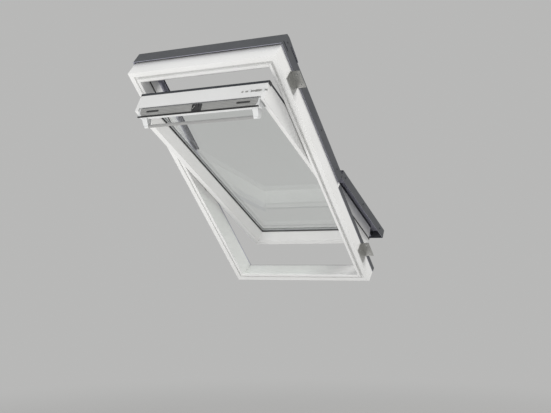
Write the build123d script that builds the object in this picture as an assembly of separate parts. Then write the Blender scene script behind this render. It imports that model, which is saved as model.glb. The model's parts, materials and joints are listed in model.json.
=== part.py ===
import os

from build123d import *

# A centre-pivot roof window, 780 mm wide and 1400 mm high, with its sash tipped open.
# It is drawn lying on its outer side: X to the right as seen from the room, Y up the
# slope from the frame's lower edge, and depth counted outwards from the room face of
# the frame. At the end it is tipped up to the pitch of the roof.

# Driving dimensions, mm and degrees
ROOF_PITCH = 43.6
OPEN_ANGLE = 16.2

FRAME_WIDTH = 780
FRAME_HEIGHT = 1400
FRAME_DEPTH = 95
LINING_INSET = 35
GROOVE_WIDTH = 12
GROOVE_DEPTH = 15
OUTER_SETBACK = 6
LIP_WIDTH = 13.5
TOP_STEP = 22
SILL_LIP_DEPTH = 60
CARRIER_DEPTH = 118
COVER_BELOW_PIVOT = 105

PIVOT_UP = 709
PIVOT_DEPTH = 95
PIVOT_ZONE = 120
HINGE_HALF = 90
RUN_GAP = 3
PIN_RADIUS = 9
PIN_FIT = 0.05

SASH_BOTTOM = 48
SASH_ROOM_DEPTH = 33
SASH_OUTER_DEPTH = 126
SIGHT_WIDTH = 54
SIGHT_BOTTOM = 106
SIGHT_TOP = 1232
TOP_EDGE_ROOM = (1323, 50)
TOP_EDGE_OUTER = (1317, 140)
ROUGH_TOP = 1340

GLASS_DEPTH = 88
PANE = 4
GLASS_CAVITY = 14
GLASS_COVERED = 16
GASKET = 2.5
REBATE = 20
OUTER_RIB = 18
TOP_RIB = 36
PROFILE_DEPTH = 140
PROFILE_WALL = 4.5

SHEET = 1.5
COVER_DEPTH = 146
COVER_REACH = 15.5
SKIRT_OUT = 3
COVER_FOOT = -10
COVER_SKIRT = 98
SEAL_DEPTH = 63

FLAP_AXIS = (1274, 40)
FLAP_HALF = 317
FLAP_ROOM_DEPTH = 54
FLAP_BACK = (1320, 48)
FLAP_FRONT = (1315, 7.5)
FLAP_SHEET = 2.5
FLAP_PIN_RADIUS = 3
GRILLE_RIBS = 5
SLOT_CENTRE = 238
SLOT_LENGTH = 64
SLOT_WIDTH = 5
LATCH_HALF = 25
BAR_CENTRE = (1266, -12)
ARM_INSET = 13
ARM_WIDTH = 27
ARM_DROP_ANGLE = 62.5

BOLT_CENTRE = (1318, 87)
BOLT_RADIUS = 4.5
BOLT_START = 236
BOLT_COLLAR = (287, 6.2)
BOLT_TRAVEL = 16
BOLT_ROOM = 0.6
BOLT_GUIDES = (250, 318)
BUSH_RADIUS = 7.5

BRACKET_FROM_END = 170
BRACKET_HALF = 45
BRACKET_DEPTH = 66
BRACKET_REACH = 46
BRACKET_HOLES = 28

# Sizes worked out from the ones above
HALF_WIDTH = FRAME_WIDTH / 2
LINING_HALF = HALF_WIDTH - LINING_INSET
INNER_HALF = LINING_HALF - LIP_WIDTH
LIP_BOTTOM = LINING_INSET + LIP_WIDTH
LIP_TOP = FRAME_HEIGHT - LIP_BOTTOM
INNER_TOP = LIP_TOP - TOP_STEP
SASH_HALF = INNER_HALF - RUN_GAP
SIGHT_HALF = SASH_HALF - SIGHT_WIDTH
OUTER_PANE_DEPTH = GLASS_DEPTH + PANE + GLASS_CAVITY
GLASS_BACK = OUTER_PANE_DEPTH + PANE
LEDGE_DEPTH = GLASS_BACK + GASKET
ZONE_TOP = PIVOT_UP + PIVOT_ZONE
ZONE_BOTTOM = PIVOT_UP - PIVOT_ZONE
HINGE_SPAN = (PIVOT_UP - HINGE_HALF, PIVOT_UP + HINGE_HALF)
PLATE_DEPTH = (55, PIVOT_DEPTH + 17)
COVER_START = PIVOT_UP - COVER_BELOW_PIVOT
COVER_UNDER = COVER_DEPTH - SHEET
SKIRT_HALF = HALF_WIDTH + SKIRT_OUT
COVER_EDGE = SASH_HALF - COVER_REACH
TOP_LIP = SIGHT_TOP + 30
ARM_OUTER = FLAP_HALF - ARM_INSET


# Drawing helpers
def outline(points, eased=None):
    """A closed outline; `eased` gives the radius of each corner that is rounded."""
    face = make_face(Polyline(*points, close=True))
    for corner, radius in (eased or {}).items():
        nearest = min(face.vertices(), key=lambda v: (Vector(v.X, v.Y) - Vector(*corner)).length)
        face = fillet(nearest, radius)
    return face


def along_height(points, start, end, eased=None):
    """A straight piece that runs up the slope; its points are (across, depth)."""
    plane = Plane(origin=(0, start, 0), x_dir=(1, 0, 0), z_dir=(0, 1, 0))
    return extrude(plane * outline(points, eased), amount=end - start, dir=(0, 1, 0))


def along_width(points, left, right, eased=None):
    """A straight piece that runs across; its points are (up the slope, depth)."""
    plane = Plane(origin=(right, 0, 0), x_dir=(0, 1, 0), z_dir=(-1, 0, 0))
    return extrude(plane * outline(points, eased), amount=right - left, dir=(-1, 0, 0))


def block(x, y, depth):
    """A box between two values along each direction."""
    size = [high - low for low, high in (x, y, depth)]
    middle = (sum(x) / 2, sum(y) / 2, -sum(depth) / 2)
    return Pos(*middle) * Box(*size)


def folded(path, thickness):
    """The section of a sheet folded along a path, with its thickness to the path's left."""
    points = [Vector(across, depth) for across, depth in path]
    steps = [(b - a).normalized() for a, b in zip(points, points[1:])]
    sides = [Vector(-step.Y, step.X) for step in steps]
    far = []
    for point, before, after in zip(points, [sides[0]] + sides, sides + [sides[-1]]):
        corner = (before + after).normalized()
        far.append(point + corner * (thickness / corner.dot(after)))
    return [(p.X, p.Y) for p in points] + [(p.X, p.Y) for p in reversed(far)]


def ring(half_width, bottom, top, inset, depth):
    """A flat rectangular ring between two depths, inset from its outer edge."""
    outer = block((-half_width, half_width), (bottom, top), depth)
    inner = block(
        (inset - half_width, half_width - inset), (bottom + inset, top - inset), depth
    )
    return outer - inner


def rod_across(radius, centre, left, right):
    """A round rod along X; its centre is (up the slope, depth)."""
    up, depth = centre
    plane = Plane(origin=(left, up, -depth), x_dir=(0, 1, 0), z_dir=(1, 0, 0))
    return extrude(plane * Circle(radius), amount=right - left, dir=(1, 0, 0))


def left_of(piece):
    return mirror(piece, about=Plane.YZ)


# Fixed frame
def lining_groove():
    """The slot all round the room face that takes the edge of the wall lining."""
    outer_half = LINING_HALF + GROOVE_WIDTH
    edge = LINING_INSET - GROOVE_WIDTH
    slot = ring(outer_half, edge, FRAME_HEIGHT - edge, GROOVE_WIDTH, (0, GROOVE_DEPTH))
    setback = ring(
        HALF_WIDTH, 0, FRAME_HEIGHT, HALF_WIDTH - outer_half, (0, OUTER_SETBACK)
    )
    return slot + setback


def seal_slot():
    """The narrow slot for the foot of the frame seal, up both sides and over the top."""
    low, high = SEAL_DEPTH - 1.5, SEAL_DEPTH + 1.5
    deep = 4.5
    side = block((INNER_HALF, INNER_HALF + deep), (ZONE_TOP, INNER_TOP + deep), (low, high))
    over = block(
        (-INNER_HALF - deep, INNER_HALF + deep), (INNER_TOP, INNER_TOP + deep), (low, high)
    )
    return side + left_of(side) + over


def frame_side():
    section = [
        (INNER_HALF, 0),
        (HALF_WIDTH, 0),
        (HALF_WIDTH, FRAME_DEPTH),
        (INNER_HALF, FRAME_DEPTH),
    ]
    side = along_height(section, 0, FRAME_HEIGHT, {(INNER_HALF, 0): 2.5})
    hinge_recess = block((INNER_HALF, INNER_HALF + 4), HINGE_SPAN, (PLATE_DEPTH[0], FRAME_DEPTH))
    return side - lining_groove() - seal_slot() - hinge_recess


def frame_top():
    section = [
        (LIP_TOP, 0),
        (FRAME_HEIGHT, 0),
        (FRAME_HEIGHT, FRAME_DEPTH),
        (INNER_TOP, FRAME_DEPTH),
        (INNER_TOP, 30),
    ]
    eased = {(LIP_TOP, 0): 2.5, (INNER_TOP, 30): 4}
    member = along_width(section, -INNER_HALF, INNER_HALF, eased)
    return member - lining_groove() - seal_slot()


def frame_bottom():
    """The sill member: its upper face sheds water, its foot is rebated for the cover."""
    section = [
        (0, 0),
        (LIP_BOTTOM, 0),
        (LIP_BOTTOM, 12),
        (LIP_BOTTOM - 10, 26),
        (LIP_BOTTOM - 26, FRAME_DEPTH),
        (SHEET, FRAME_DEPTH),
        (SHEET, SILL_LIP_DEPTH - 2),
        (0, SILL_LIP_DEPTH - 2),
    ]
    eased = {(LIP_BOTTOM, 0): 2.5, (LIP_BOTTOM, 12): 4}
    return along_width(section, -INNER_HALF, INNER_HALF, eased) - lining_groove()


def frame_seal():
    """A rubber bulb seal in the slot, turned through the two upper corners."""
    depth = (SEAL_DEPTH - 3, SEAL_DEPTH + 3)
    top_bulb = block((-INNER_HALF, INNER_HALF), (INNER_TOP - 5.5, INNER_TOP), depth)
    side_bulb = block((INNER_HALF - 2.2, INNER_HALF), (ZONE_TOP, INNER_TOP), depth)
    return seal_slot() + side_bulb + left_of(side_bulb) + top_bulb


def side_carrier():
    """The white upstand on the upper half of a side member, under the outer cover."""
    section = [
        (INNER_HALF, FRAME_DEPTH),
        (HALF_WIDTH - 4, FRAME_DEPTH),
        (HALF_WIDTH - 8, CARRIER_DEPTH),
        (INNER_HALF, CARRIER_DEPTH),
    ]
    eased = {(HALF_WIDTH - 8, CARRIER_DEPTH): 4}
    carrier = along_height(section, COVER_START, FRAME_HEIGHT, eased)
    return carrier - block(
        (INNER_HALF, INNER_HALF + 4), HINGE_SPAN, (FRAME_DEPTH, PLATE_DEPTH[1])
    )


def top_carrier():
    section = [
        (INNER_TOP + 24, FRAME_DEPTH),
        (FRAME_HEIGHT - 4, FRAME_DEPTH),
        (FRAME_HEIGHT - 8, 138),
        (INNER_TOP + 30, 138),
    ]
    return along_width(section, -INNER_HALF, INNER_HALF)


def upper_cover():
    """The folded outer cover of one frame side: drip edge, skirt, top plate and web.

    Beside the pivot it stops at the frame, so that the sash can turn past it. Above
    the pivot a wider plate reaches over the edge of the sash.
    """
    inner = INNER_HALF + SHEET
    path = [
        (inner, CARRIER_DEPTH),
        (inner, COVER_UNDER),
        (SKIRT_HALF - SHEET, COVER_UNDER),
        (SKIRT_HALF - SHEET, 85),
        (SKIRT_HALF + 2, 81),
    ]
    channel = along_height(folded(path, SHEET), COVER_START, FRAME_HEIGHT + 6)
    plate = block(
        (COVER_EDGE, inner), (ZONE_TOP, FRAME_HEIGHT + 6), (COVER_UNDER, COVER_DEPTH)
    )
    lap_width = (inner, SKIRT_HALF - 4)
    lap_end = COVER_START + 15
    lap_depth = COVER_UNDER - 3.5
    lap = block(lap_width, (ZONE_BOTTOM - 30, lap_end), (lap_depth - SHEET, lap_depth))
    step = block(lap_width, (COVER_START, lap_end), (lap_depth, COVER_UNDER))
    return channel + plate + lap + step


def cover_seal():
    """A thin black lip under the inner edge of the upper side cover."""
    lip = [
        (COVER_EDGE, COVER_UNDER),
        (COVER_EDGE + 6, COVER_UNDER),
        (COVER_EDGE + 3.5, COVER_UNDER - 3.5),
    ]
    return along_height(lip, ZONE_TOP, INNER_TOP)


def top_hood():
    """The folded hood over the top member, closed by a cheek at each end.

    A drip edge runs along its back, and its front edge is folded down to the sash.
    """
    back = FRAME_HEIGHT + 8
    path = [
        (back + 4, 80),
        (back, 84),
        (back, 152),
        (FRAME_HEIGHT - 14, 158),
        (SIGHT_TOP + 40, 150),
        (SIGHT_TOP + 30, COVER_DEPTH + 0.4),
    ]
    half = SKIRT_HALF + 3
    sheet = along_width(folded(path, -SHEET), -half, half)
    cheek_outline = path[2:] + [(back, COVER_DEPTH + 0.4)]
    cheek = along_width(cheek_outline, half - SHEET, half)
    skirt = block((half - SHEET, half), (INNER_TOP + 20, back), (110, COVER_DEPTH + 1))
    return sheet + cheek + left_of(cheek) + skirt + left_of(skirt)


def hood_seal():
    half = SASH_HALF - 16
    strip = block((-half, half), (SIGHT_TOP + 31, SIGHT_TOP + 35), (141, 148))
    return strip - top_hood()


def sill_cover():
    """The folded sheet over the outer edge of the sill member, flush with its foot."""
    path = [(SHEET, SILL_LIP_DEPTH), (SHEET, FRAME_DEPTH), (LIP_BOTTOM - 26, FRAME_DEPTH)]
    return along_width(folded(path, SHEET), -INNER_HALF, INNER_HALF)


def lower_rail():
    """The low dark channel on the lower half of a side member, under the sash cover."""
    path = [(INNER_HALF + 9, 112), (INNER_HALF + 9, 95), (HALF_WIDTH, 95), (HALF_WIDTH, 70)]
    channel = folded(path, SHEET)
    return along_height(channel, 0, ZONE_BOTTOM - 2)


def hinge_plate_frame():
    """A steel plate let into the frame, with the pivot pin riveted in a round boss."""
    plate = block((INNER_HALF, INNER_HALF + 4), HINGE_SPAN, PLATE_DEPTH)
    plate = fillet(plate.edges().filter_by(Axis.X), radius=8)
    boss = rod_across(PIN_RADIUS + 7, (PIVOT_UP, PIVOT_DEPTH), INNER_HALF - 1.2, INNER_HALF)
    pin = rod_across(PIN_RADIUS, (PIVOT_UP, PIVOT_DEPTH), SASH_HALF - 7, INNER_HALF + 4)
    return plate + boss + pin


def striker():
    """The keeper at the middle of the top member, a plate with two guiding prongs."""
    plate = along_width(
        [(INNER_TOP, 34), (INNER_TOP - 2.5, 34), (INNER_TOP - 2.5, 58), (INNER_TOP, 58)], -34, 34
    )
    plate = plate - Pos(0, INNER_TOP, -46) * Rot(90, 0, 0) * Cylinder(2.4, 20)
    prong = along_width(
        [(INNER_TOP, 46), (INNER_TOP, 36), (INNER_TOP - 5, 36), (INNER_TOP - 5, 41)], 27, 31
    )
    return plate + prong + left_of(prong)


def bolt_bush():
    bush = rod_across(BUSH_RADIUS, BOLT_CENTRE, INNER_HALF, INNER_HALF + 20)
    return bush - rod_across(BOLT_RADIUS + BOLT_ROOM, BOLT_CENTRE, INNER_HALF, INNER_HALF + 20)


def bracket(up):
    """An angle bracket that holds the frame's side to the roof."""
    path = [
        (HALF_WIDTH, 14),
        (HALF_WIDTH, BRACKET_DEPTH),
        (HALF_WIDTH + BRACKET_REACH, BRACKET_DEPTH),
    ]
    angle = along_height(folded(path, -2.5), up - BRACKET_HALF, up + BRACKET_HALF)
    for step in (-BRACKET_HOLES, BRACKET_HOLES):
        roof_hole = Pos(HALF_WIDTH + 28, up + step, -BRACKET_DEPTH) * Cylinder(3.5, 20)
        frame_hole = Pos(HALF_WIDTH, up + step, -34) * Rot(0, 90, 0) * Cylinder(2.5, 20)
        angle = angle - roof_hole - frame_hole
    return angle


# Sash
def sash_silhouette():
    """The sash's side view, used to trim its members to the slanting top edge."""
    rise = (TOP_EDGE_OUTER[0] - TOP_EDGE_ROOM[0]) / (TOP_EDGE_OUTER[1] - TOP_EDGE_ROOM[1])
    top_outer = TOP_EDGE_ROOM[0] + rise * (PROFILE_DEPTH - TOP_EDGE_ROOM[1])
    section = [
        (SASH_BOTTOM, 20),
        (SASH_BOTTOM, 60),
        (SASH_BOTTOM + 2, PROFILE_DEPTH),
        (top_outer, PROFILE_DEPTH),
        TOP_EDGE_ROOM,
        (TOP_EDGE_ROOM[0], 20),
    ]
    return along_width(section, -400, 400)


def sash_section(edge, sight):
    """The moulded section shared by the stiles, from outer edge to sight line.

    From the room it is a flat face, a fine groove and a long splay towards the glass.
    Behind are the glass rebate, a ledge for the glazing profile and an outer rib.
    """
    way = 1 if sight > edge else -1
    flat = (edge + sight) / 2
    wall = sight - way * REBATE
    rib = edge + way * OUTER_RIB
    return [
        (edge, SASH_ROOM_DEPTH),
        (flat - way * 1.2, SASH_ROOM_DEPTH + 7),
        (flat, SASH_ROOM_DEPTH + 10.5),
        (flat + way * 1.2, SASH_ROOM_DEPTH + 8.5),
        (sight, GLASS_DEPTH - 8),
        (sight, GLASS_DEPTH - 4),
        (wall, GLASS_DEPTH - 4),
        (wall, LEDGE_DEPTH),
        (rib, LEDGE_DEPTH),
        (rib, SASH_OUTER_DEPTH),
        (edge, SASH_OUTER_DEPTH),
    ]


def flap_recess():
    """The space for the ventilation flap, clear of the stiles at both ends."""
    half = FLAP_HALF + 4
    return block((-half, half), (TOP_LIP + 4, FRAME_HEIGHT), (0, FLAP_ROOM_DEPTH))


def sash_plate():
    """The outline of the hinge plate that is let into the stile."""
    return block((SASH_HALF - 4, SASH_HALF), (PIVOT_UP - 75, PIVOT_UP + 75), (62, 124))


def sash_stile():
    """A stile, squared off at its upper end, where the top rail butts against it."""
    eased = {(SASH_HALF, SASH_ROOM_DEPTH): 4, (SIGHT_HALF, GLASS_DEPTH - 8): 2.5}
    stile = along_height(sash_section(SASH_HALF, SIGHT_HALF), SASH_BOTTOM, ROUGH_TOP, eased)
    butt = SIGHT_HALF + REBATE
    end = (SIGHT_TOP + TOP_RIB, ROUGH_TOP)
    depth = (FLAP_ROOM_DEPTH, SASH_OUTER_DEPTH)
    stile = stile - block((SIGHT_HALF, butt), end, depth) + block((butt, SASH_HALF), end, depth)
    stile = stile & sash_silhouette()
    pin_room = rod_across(PIN_RADIUS + 1, (PIVOT_UP, PIVOT_DEPTH), SASH_HALF - 8, SASH_HALF)
    flap_pin = rod_across(FLAP_PIN_RADIUS, FLAP_AXIS, FLAP_HALF + 4, FLAP_HALF + 14)
    return stile - sash_plate() - pin_room - flap_recess() - flap_pin


def bolt_groove():
    """The groove in the top edge that the barrel bolt slides in, wider for its collar."""
    place, radius = BOLT_COLLAR
    groove = rod_across(BOLT_RADIUS + BOLT_ROOM, BOLT_CENTRE, BOLT_START - 3, SASH_HALF + 1)
    collar_way = (place - 5, place + BOLT_TRAVEL + 5)
    return groove + rod_across(radius + BOLT_ROOM, BOLT_CENTRE, *collar_way)


def sash_bottom_rail():
    """The low bottom rail, without the outer rib, so that water runs off over it."""
    section = sash_section(SASH_BOTTOM, SIGHT_BOTTOM)[:8] + [(SASH_BOTTOM, LEDGE_DEPTH)]
    eased = {(SASH_BOTTOM, SASH_ROOM_DEPTH): 4, (SIGHT_BOTTOM, GLASS_DEPTH - 8): 2.5}
    rail = along_width(section, 3 - SASH_HALF, SASH_HALF - 3, eased)
    scribed = (rail & sash_silhouette()) - sash_stile() - left_of(sash_stile())
    return scribed.solids().sort_by(SortBy.VOLUME)[-1]


def sash_top_rail():
    """The deep top rail, splayed below and hollowed for the ventilation flap."""
    section = [
        (SIGHT_TOP, GLASS_DEPTH - 4),
        (SIGHT_TOP, GLASS_DEPTH - 8),
        (TOP_LIP - 3, SASH_ROOM_DEPTH + 11),
        (TOP_LIP + 4, SASH_ROOM_DEPTH + 11),
        (TOP_LIP + 4, FLAP_ROOM_DEPTH),
        (ROUGH_TOP, FLAP_ROOM_DEPTH),
        (ROUGH_TOP, SASH_OUTER_DEPTH),
        (SIGHT_TOP + TOP_RIB, SASH_OUTER_DEPTH),
        (SIGHT_TOP + TOP_RIB, LEDGE_DEPTH),
        (SIGHT_TOP + REBATE, LEDGE_DEPTH),
        (SIGHT_TOP + REBATE, GLASS_DEPTH - 4),
    ]
    eased = {(SIGHT_TOP, GLASS_DEPTH - 8): 2.5, (TOP_LIP - 3, SASH_ROOM_DEPTH + 11): 4}
    rail = along_width(section, -SASH_HALF, SASH_HALF, eased) & sash_silhouette()
    return rail - sash_stile() - left_of(sash_stile()) - bolt_groove()


def pane(depth):
    half = SIGHT_HALF + GLASS_COVERED
    return block(
        (-half, half),
        (SIGHT_BOTTOM - GLASS_COVERED, SIGHT_TOP + GLASS_COVERED),
        (depth, depth + PANE),
    )


def glass_ring(inset, width, depth):
    """A ring between the panes or beside them, counted from the edge of the glass."""
    half = SIGHT_HALF + GLASS_COVERED - inset
    bottom = SIGHT_BOTTOM - GLASS_COVERED + inset
    top = SIGHT_TOP + GLASS_COVERED - inset
    return ring(half, bottom, top, width, depth)


def inner_gasket():
    """The black gasket under the glass, with a bevelled lip past the sight line."""
    gasket = glass_ring(2, 19, (GLASS_DEPTH - 4, GLASS_DEPTH))
    room_face = gasket.faces().sort_by(Axis.Z)[-1]
    lip_edges = room_face.inner_wires()[0].edges()
    return chamfer(lip_edges, 2.5)


def glazing_section(edge, sight, rib):
    """The dark aluminium profile that holds the glass down from outside.

    A low foot lies on the glass, a wall stands against the rib of the sash, and a cap
    reaches over the rib to the outer edge.
    """
    way = 1 if edge > sight else -1
    wall = rib - way * PROFILE_WALL
    nose = sight + way * 4
    return [
        (nose, LEDGE_DEPTH),
        (rib, LEDGE_DEPTH),
        (rib, SASH_OUTER_DEPTH),
        (edge, SASH_OUTER_DEPTH),
        (edge, PROFILE_DEPTH - 2),
        (edge - way * 2, PROFILE_DEPTH),
        (wall + way * 3, PROFILE_DEPTH),
        (wall, PROFILE_DEPTH - 3),
        (wall, LEDGE_DEPTH + 4.5),
        (nose + way * 2, LEDGE_DEPTH + 4),
        (nose, LEDGE_DEPTH + 2.5),
    ]


def glazing_side():
    """Its foot ends at the strips across, and only wall and cap run on past them."""
    rib = SASH_HALF - OUTER_RIB
    profile = along_height(glazing_section(SASH_HALF, SIGHT_HALF, rib), SASH_BOTTOM, ROUGH_TOP)
    below = block((SIGHT_HALF, rib - PROFILE_WALL), (0, SIGHT_BOTTOM - 8), (LEDGE_DEPTH, 120))
    above = block(
        (SIGHT_HALF, rib), (SIGHT_TOP + TOP_RIB, ROUGH_TOP), (LEDGE_DEPTH, SASH_OUTER_DEPTH)
    )
    return (profile & sash_silhouette()) - below - above


def glazing_top():
    half = SASH_HALF - OUTER_RIB
    section = glazing_section(ROUGH_TOP, SIGHT_TOP, SIGHT_TOP + TOP_RIB)
    profile = along_width(section, -half, half) & sash_silhouette()
    return profile - glazing_side() - left_of(glazing_side())


def glazing_bottom():
    """A low tapered strip over the bottom rail, so that water runs off the glass."""
    nose = SIGHT_BOTTOM - 8
    section = [
        (nose, LEDGE_DEPTH),
        (SASH_BOTTOM + 2, LEDGE_DEPTH),
        (SASH_BOTTOM + 2, LEDGE_DEPTH + 2),
        (nose - 4, LEDGE_DEPTH + 5),
        (nose, LEDGE_DEPTH + 3),
    ]
    half = SASH_HALF - OUTER_RIB - PROFILE_WALL
    return along_width(section, -half, half)


def sash_seal():
    """The rubber lip of the lower half, up both sides of the sash from its foot."""
    depth = (SEAL_DEPTH - 3, SEAL_DEPTH + 3)
    side = block((SASH_HALF, SASH_HALF + 2.2), (SASH_BOTTOM - 6, ZONE_BOTTOM), depth)
    foot = block((-SASH_HALF, SASH_HALF), (SASH_BOTTOM - 6, SASH_BOTTOM), depth)
    return side + left_of(side) + foot


def lower_cover():
    """The folded outer cover of one side in the lower half, carried by the sash.

    It runs down past the foot of the sash, where a cheek closes it.
    """
    path = [
        (COVER_EDGE, PROFILE_DEPTH),
        (COVER_EDGE, COVER_UNDER),
        (SKIRT_HALF - SHEET, COVER_UNDER),
        (SKIRT_HALF - SHEET, COVER_SKIRT),
    ]
    sheet = along_height(folded(path, -SHEET), COVER_FOOT, ZONE_BOTTOM)
    cheek = block(
        (COVER_EDGE, SKIRT_HALF - SHEET),
        (COVER_FOOT, COVER_FOOT + SHEET),
        (COVER_SKIRT, COVER_UNDER),
    )
    return sheet + cheek


def bottom_cover():
    """The low folded cover along the foot of the sash, between the side covers.

    It falls away from the glass to a drip skirt. Beside the foot of each stile an
    upstand meets the side cover.
    """
    upper = SASH_BOTTOM + 38
    path = [
        (upper, LEDGE_DEPTH + 4.5),
        (COVER_FOOT, LEDGE_DEPTH - 2),
        (COVER_FOOT, COVER_SKIRT),
    ]
    sheet = along_width(folded(path, -SHEET), -COVER_EDGE, COVER_EDGE)
    corner_room = block(
        (SASH_HALF - OUTER_RIB - PROFILE_WALL - 0.5, COVER_EDGE),
        (SASH_BOTTOM - 2, upper + 5),
        (FRAME_DEPTH - 5, COVER_DEPTH + 4),
    )
    upstand = block(
        (COVER_EDGE - SHEET, COVER_EDGE), (COVER_FOOT, SASH_BOTTOM - 2), (LEDGE_DEPTH, COVER_UNDER)
    )
    return sheet - corner_room - left_of(corner_room) + upstand + left_of(upstand)


def hinge_plate_sash():
    """A steel plate let into the stile, that turns on the frame's pin."""
    plate = fillet(sash_plate().edges().filter_by(Axis.X), radius=8)
    return plate - rod_across(
        PIN_RADIUS + PIN_FIT, (PIVOT_UP, PIVOT_DEPTH), SASH_HALF - 5, SASH_HALF + 1
    )


def vent_filter():
    half = FLAP_HALF - 13
    return block((-half, half), (SIGHT_TOP + 46, SIGHT_TOP + 88), (FLAP_ROOM_DEPTH - 3, FLAP_ROOM_DEPTH))


def flap_pin():
    return rod_across(FLAP_PIN_RADIUS, FLAP_AXIS, FLAP_HALF - 8, FLAP_HALF + 14)


def bolt_guide(start):
    """A small saddle over the barrel bolt, standing on the top edge."""
    up, depth = BOLT_CENTRE
    saddle = [
        (up - 4, depth - 10),
        (up + 3, depth - 10),
        (up + 6, depth - 6),
        (up + 6, depth + 6),
        (up + 3, depth + 10),
        (up - 4, depth + 10),
    ]
    return along_width(saddle, start, start + 12)


# Ventilation flap with its control bar
def on_flap(depth, lift):
    """A point over the flap's upper face, at a depth and a height above the face."""
    (back_up, back), (front_up, front) = FLAP_BACK, FLAP_FRONT
    lean = (back_up - front_up) / (back - front)
    return (front_up + lean * (depth - front) + lift, depth)


def flap_path():
    """The trough's section from its upper edge, round the front, to the hinge."""
    return [FLAP_BACK, FLAP_FRONT, (1287, 14), (1270, 33), (1269, 41)]


def flap_panel():
    return along_width(folded(flap_path(), -FLAP_SHEET), -FLAP_HALF + 8, FLAP_HALF - 8)


def slot_shape(centre, widen, depth, low, high):
    """A slab with round ends on the flap, between two heights above its face."""
    up = on_flap(depth, low)[0]
    plane = Plane(origin=(centre, up, -depth), x_dir=(1, 0, 0), z_dir=(0, 1, 0))
    face = SlotOverall(SLOT_LENGTH + widen, SLOT_WIDTH + widen)
    return extrude(plane * face, amount=high - low)


def vent_grille():
    """The ribbed grille on the flap's upper face, mitred at both ends.

    Long ribs run from end to end. The middle one gives way to an oblong air slot near
    each end, with a raised rim round it.
    """
    half = FLAP_HALF - 9
    near, deep = FLAP_FRONT[1] + 2.5, FLAP_BACK[1]
    base = along_width(
        [on_flap(near, 0), on_flap(near, 1.2), on_flap(deep, 1.2), on_flap(deep, 0)], -half, half
    )
    pitch = (deep - near) / GRILLE_RIBS
    middle = near + pitch * GRILLE_RIBS / 2
    for step in range(GRILLE_RIBS):
        start = near + (step + 0.3) * pitch
        rib = [
            on_flap(start, 1.2),
            on_flap(start + 0.6, 3.4),
            on_flap(start + 2.4, 3.4),
            on_flap(start + 3.0, 1.2),
        ]
        base = base + along_width(rib, -half, half)
    for centre in (-SLOT_CENTRE, SLOT_CENTRE):
        base = base + slot_shape(centre, 4, middle, 0.8, 3.8)
        base = base - slot_shape(centre, 0, middle, -1, 6)
    mitre = Plane(origin=(half, 1318, -near), x_dir=(1, 0, 0), z_dir=(0, 1, 0))
    corner = extrude(mitre * outline([(-12, -1), (1, -1), (1, 16)]), amount=12, both=True)
    latch_room = block((-LATCH_HALF - 1, LATCH_HALF + 1), (1300, 1330), (0, FLAP_ROOM_DEPTH))
    return base - corner - left_of(corner) - latch_room


def flap_seal():
    """The black strip along the flap's front corner, with a point at both ends."""
    up, depth = FLAP_FRONT
    section = [
        (up, depth),
        (up - 2.5, depth + 0.58),
        (up - 2.5, depth - 3),
        (up + 3.2, depth - 3),
        (up + 3.6, depth + 1.8),
        (up + 0.3, depth + 1.8),
    ]
    return along_width(section, -FLAP_HALF, FLAP_HALF, {(up + 3.2, depth - 3): 1.2})


def flap_cap():
    """The moulded end of the flap, turning on its pin."""
    section = flap_path()[:3] + [(1270, 33), (1268, 42), (1272, 46.5), (1279, 47)]
    cap = along_width(section, FLAP_HALF - 8, FLAP_HALF, {(1268, 42): 2, (1287, 14): 4})
    return cap - rod_across(
        FLAP_PIN_RADIUS + PIN_FIT, FLAP_AXIS, FLAP_HALF - 9, FLAP_HALF + 1
    )


def bar_section(grow=0):
    """The oval section of the control bar, with its long axis hanging down."""
    up, depth = BAR_CENTRE
    return Pos(up, depth) * Rot(0, 0, -50) * SlotOverall(18 + 2 * grow, 13 + 2 * grow)


def bar_arm():
    """The elbow at one end of the control bar, rising to the flap's front.

    In side view it tapers from the flap to the bar, and seen from the front its outer
    lower corner is rounded.
    """
    up, depth = BAR_CENTRE
    neck = [(1304, 10.2), (1287, 14), (1272, 31), (up - 8, depth + 9), (up + 4, depth - 7)]
    side_view = outline(neck, {(1272, 31): 5}) + bar_section(1.5)
    plane = Plane(origin=(ARM_OUTER, 0, 0), x_dir=(0, 1, 0), z_dir=(-1, 0, 0))
    arm = extrude(plane * side_view, amount=ARM_WIDTH, dir=(-1, 0, 0))
    front = Plane(origin=(ARM_OUTER, up, -depth), x_dir=(1, 0, 0), z_dir=(0, -1, 0))
    front = front.rotated((ARM_DROP_ANGLE - 90, 0, 0))
    window = outline(
        [(-ARM_WIDTH, -70), (0, -70), (0, 11.5), (-ARM_WIDTH, 11.5)], {(0, 11.5): 13}
    )
    return arm & extrude(front * window, amount=70, both=True)


def control_bar():
    """A straight oval bar between the arms, let into them by 6 mm."""
    half = ARM_OUTER - ARM_WIDTH + 6
    plane = Plane(origin=(half, 0, 0), x_dir=(0, 1, 0), z_dir=(-1, 0, 0))
    return extrude(plane * bar_section(), amount=2 * half, dir=(-1, 0, 0))


def latch_case():
    """The dark latch at the middle of the flap: case, two cheeks, nose and pull."""
    def bar_on_flap(points, half):
        return along_width([on_flap(depth, lift) for depth, lift in points], -half, half)

    near = FLAP_FRONT[1]
    case = bar_on_flap(
        [(46, -0.2), (46, 2.2), (near + 12, 3), (near + 3, 2.2), (near + 3, -0.2)], LATCH_HALF
    )
    cheek = along_width(
        [on_flap(44, 2), on_flap(42, 4.6), on_flap(near + 14, 4.6), on_flap(near + 8, 2)],
        LATCH_HALF - 4,
        LATCH_HALF,
    )
    nose = along_width([(1324.5, 42), (1324.5, 36), (1320, 24), (1318, 24), (1319, 42)], -9, 9)
    pull = bar_on_flap([(near + 10, 2), (near + 8, 5), (near + 4.5, 5), (near + 3.5, 2)], 15)
    return case + cheek + left_of(cheek) + nose + pull


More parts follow.
